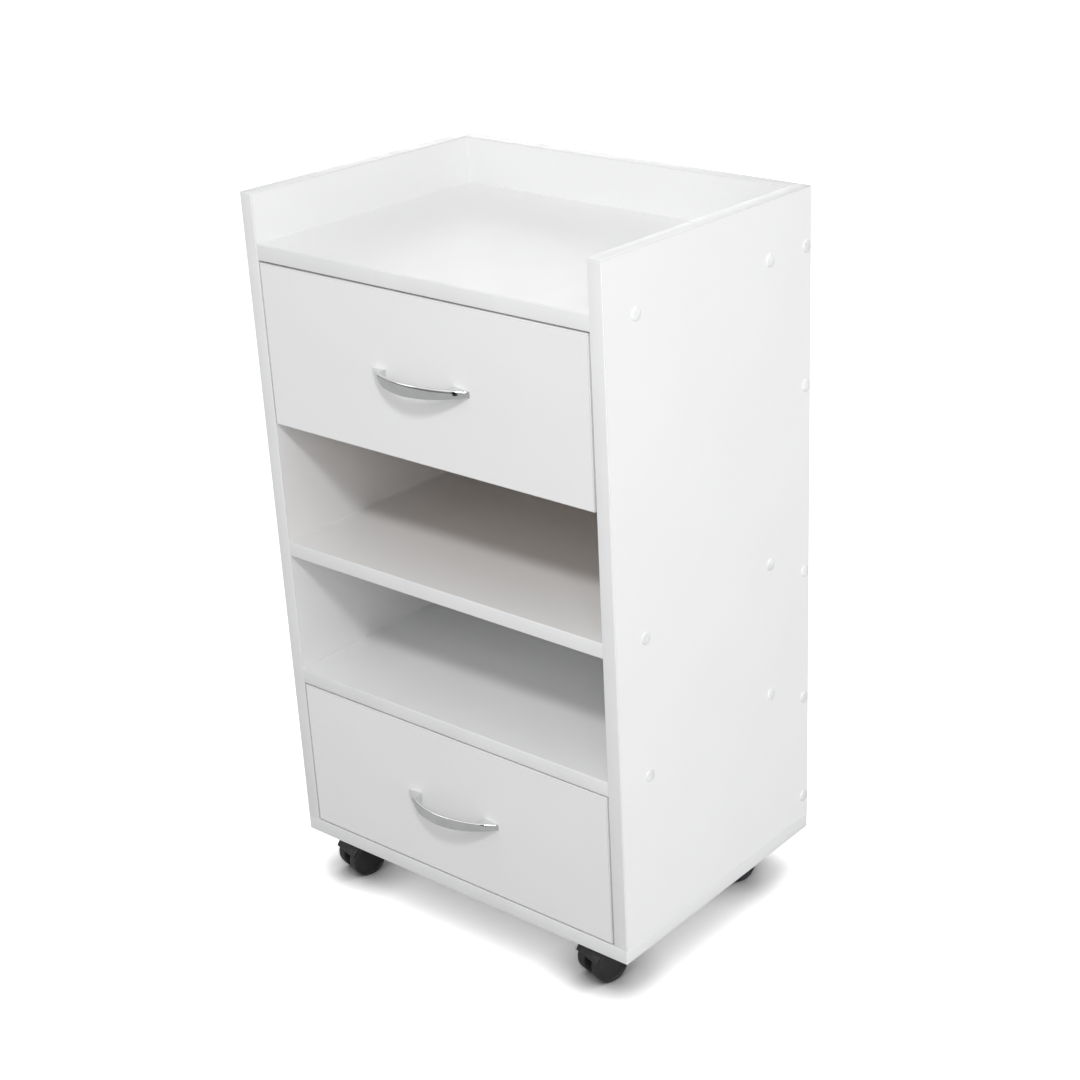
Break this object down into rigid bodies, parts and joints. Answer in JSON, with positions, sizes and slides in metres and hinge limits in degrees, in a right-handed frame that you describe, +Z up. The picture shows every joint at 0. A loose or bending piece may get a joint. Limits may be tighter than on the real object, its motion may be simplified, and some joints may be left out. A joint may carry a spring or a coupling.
{
  "type": "manicure table",
  "caption": "Narrow white laminated cabinet on swivel castors with a railed top, sliding drawers with bow handles and open niches between them.",
  "frame": {"origin": "on the floor, under the middle of the whole outline, handles included", "axes": "+Z up, +X to the user's right, drawer fronts face -Y"},
  "size_m": [0.4528, 0.346, 0.766],
  "materials": {
    "board": "white melamine laminate, fine orange peel, satin",
    "edge_band": "white plastic edge banding, satin",
    "screw_cap": "white moulded plastic",
    "hardboard": "white-lacquered hardboard",
    "chrome": "bright chrome plating",
    "zinc_screw": "zinc-plated steel",
    "slide_steel": "rolled zinc-plated sheet",
    "ball_steel": "polished balls in a pressed cage",
    "plate_steel": "pressed zinc-plated steel",
    "black_plastic": "black moulded plastic, fine texture",
    "black_wheel": "black moulded plastic wheel, satin tread"
  },
  "bodies": {
    "cabinet": {"left_side_panel": "board", "right_side_panel": "board", "back_panel": "board", "top_board": "board", "middle_shelf": "board", "lower_shelf": "board", "bottom_board": "board", "carcass_edge_bands": "edge_band", "panel_screws": "zinc_screw", "screw_caps": "screw_cap", "cabinet_rail_screws": "zinc_screw", "upper_cabinet_rails": "slide_steel", "lower_cabinet_rails": "slide_steel", "castor_plates": "plate_steel", "castor_screws": "zinc_screw"},
    "upper_middle_rails": {"upper_middle_rails": "slide_steel", "upper_ball_cages": "ball_steel"},
    "upper_drawer": {"upper_drawer_front": "board", "upper_front_bands": "edge_band", "upper_drawer_inner_front": "board", "upper_drawer_left_side": "board", "upper_drawer_right_side": "board", "upper_drawer_back": "board", "upper_drawer_bottom": "hardboard", "upper_handle": "chrome", "upper_handle_screws": "zinc_screw", "upper_box_screws": "zinc_screw", "upper_drawer_rails": "slide_steel", "upper_rail_screws": "zinc_screw"},
    "lower_middle_rails": {"lower_middle_rails": "slide_steel", "lower_ball_cages": "ball_steel"},
    "lower_drawer": {"lower_drawer_front": "board", "lower_front_bands": "edge_band", "lower_drawer_inner_front": "board", "lower_drawer_left_side": "board", "lower_drawer_right_side": "board", "lower_drawer_back": "board", "lower_drawer_bottom": "hardboard", "lower_handle": "chrome", "lower_handle_screws": "zinc_screw", "lower_box_screws": "zinc_screw", "lower_drawer_rails": "slide_steel", "lower_rail_screws": "zinc_screw"},
    "front_left_castor": {"front_left_castor_hood": "black_plastic", "front_left_castor_axle": "plate_steel"},
    "front_left_left_wheel": {"front_left_left_wheel": "black_wheel"},
    "front_left_right_wheel": {"front_left_right_wheel": "black_wheel"},
    "front_right_castor": {"front_right_castor_hood": "black_plastic", "front_right_castor_axle": "plate_steel"},
    "front_right_left_wheel": {"front_right_left_wheel": "black_wheel"},
    "front_right_right_wheel": {"front_right_right_wheel": "black_wheel"},
    "rear_left_castor": {"rear_left_castor_hood": "black_plastic", "rear_left_castor_axle": "plate_steel"},
    "rear_left_left_wheel": {"rear_left_left_wheel": "black_wheel"},
    "rear_left_right_wheel": {"rear_left_right_wheel": "black_wheel"},
    "rear_right_castor": {"rear_right_castor_hood": "black_plastic", "rear_right_castor_axle": "plate_steel"},
    "rear_right_left_wheel": {"rear_right_left_wheel": "black_wheel"},
    "rear_right_right_wheel": {"rear_right_right_wheel": "black_wheel"}
  },
  "joints": [
    {"name": "upper_drawer_slide", "type": "slide", "parent": "cabinet", "child": "upper_drawer", "axis": [0, -1, 0], "range_m": [0, 0.24]},
    {"name": "upper_middle_slide", "type": "slide", "parent": "cabinet", "child": "upper_middle_rails", "axis": [0, -1, 0], "range_m": [0, 0.12]},
    {"name": "lower_drawer_slide", "type": "slide", "parent": "cabinet", "child": "lower_drawer", "axis": [0, -1, 0], "range_m": [0, 0.24]},
    {"name": "lower_middle_slide", "type": "slide", "parent": "cabinet", "child": "lower_middle_rails", "axis": [0, -1, 0], "range_m": [0, 0.12]},
    {"name": "front_left_swivel", "type": "hinge", "parent": "cabinet", "child": "front_left_castor", "pos_m": [-0.173, -0.101, 0.05], "axis": [0, 0, 1], "continuous": true},
    {"name": "front_left_left_wheel_spin", "type": "hinge", "parent": "front_left_castor", "child": "front_left_left_wheel", "pos_m": [-0.18899, -0.11431, 0.02], "axis": [0.9659, -0.2588, 0], "continuous": true},
    {"name": "front_left_right_wheel_spin", "type": "hinge", "parent": "front_left_castor", "child": "front_left_right_wheel", "pos_m": [-0.16581, -0.12053, 0.02], "axis": [0.9659, -0.2588, 0], "continuous": true},
    {"name": "front_right_swivel", "type": "hinge", "parent": "cabinet", "child": "front_right_castor", "pos_m": [0.173, -0.101, 0.05], "axis": [0, 0, 1], "continuous": true},
    {"name": "front_right_left_wheel_spin", "type": "hinge", "parent": "front_right_castor", "child": "front_right_left_wheel", "pos_m": [0.15701, -0.11431, 0.02], "axis": [0.9659, -0.2588, 0], "continuous": true},
    {"name": "front_right_right_wheel_spin", "type": "hinge", "parent": "front_right_castor", "child": "front_right_right_wheel", "pos_m": [0.18019, -0.12053, 0.02], "axis": [0.9659, -0.2588, 0], "continuous": true},
    {"name": "rear_left_swivel", "type": "hinge", "parent": "cabinet", "child": "rear_left_castor", "pos_m": [-0.173, 0.127, 0.05], "axis": [0, 0, 1], "continuous": true},
    {"name": "rear_left_left_wheel_spin", "type": "hinge", "parent": "rear_left_castor", "child": "rear_left_left_wheel", "pos_m": [-0.18899, 0.11369, 0.02], "axis": [0.9659, -0.2588, 0], "continuous": true},
    {"name": "rear_left_right_wheel_spin", "type": "hinge", "parent": "rear_left_castor", "child": "rear_left_right_wheel", "pos_m": [-0.16581, 0.10747, 0.02], "axis": [0.9659, -0.2588, 0], "continuous": true},
    {"name": "rear_right_swivel", "type": "hinge", "parent": "cabinet", "child": "rear_right_castor", "pos_m": [0.173, 0.127, 0.05], "axis": [0, 0, 1], "continuous": true},
    {"name": "rear_right_left_wheel_spin", "type": "hinge", "parent": "rear_right_castor", "child": "rear_right_left_wheel", "pos_m": [0.15701, 0.11369, 0.02], "axis": [0.9659, -0.2588, 0], "continuous": true},
    {"name": "rear_right_right_wheel_spin", "type": "hinge", "parent": "rear_right_castor", "child": "rear_right_right_wheel", "pos_m": [0.18019, 0.10747, 0.02], "axis": [0.9659, -0.2588, 0], "continuous": true}
  ],
  "couplings": [
    {"joint": "upper_middle_slide", "follows": "upper_drawer_slide", "ratio": 0.5},
    {"joint": "lower_middle_slide", "follows": "lower_drawer_slide", "ratio": 0.5}
  ]
}
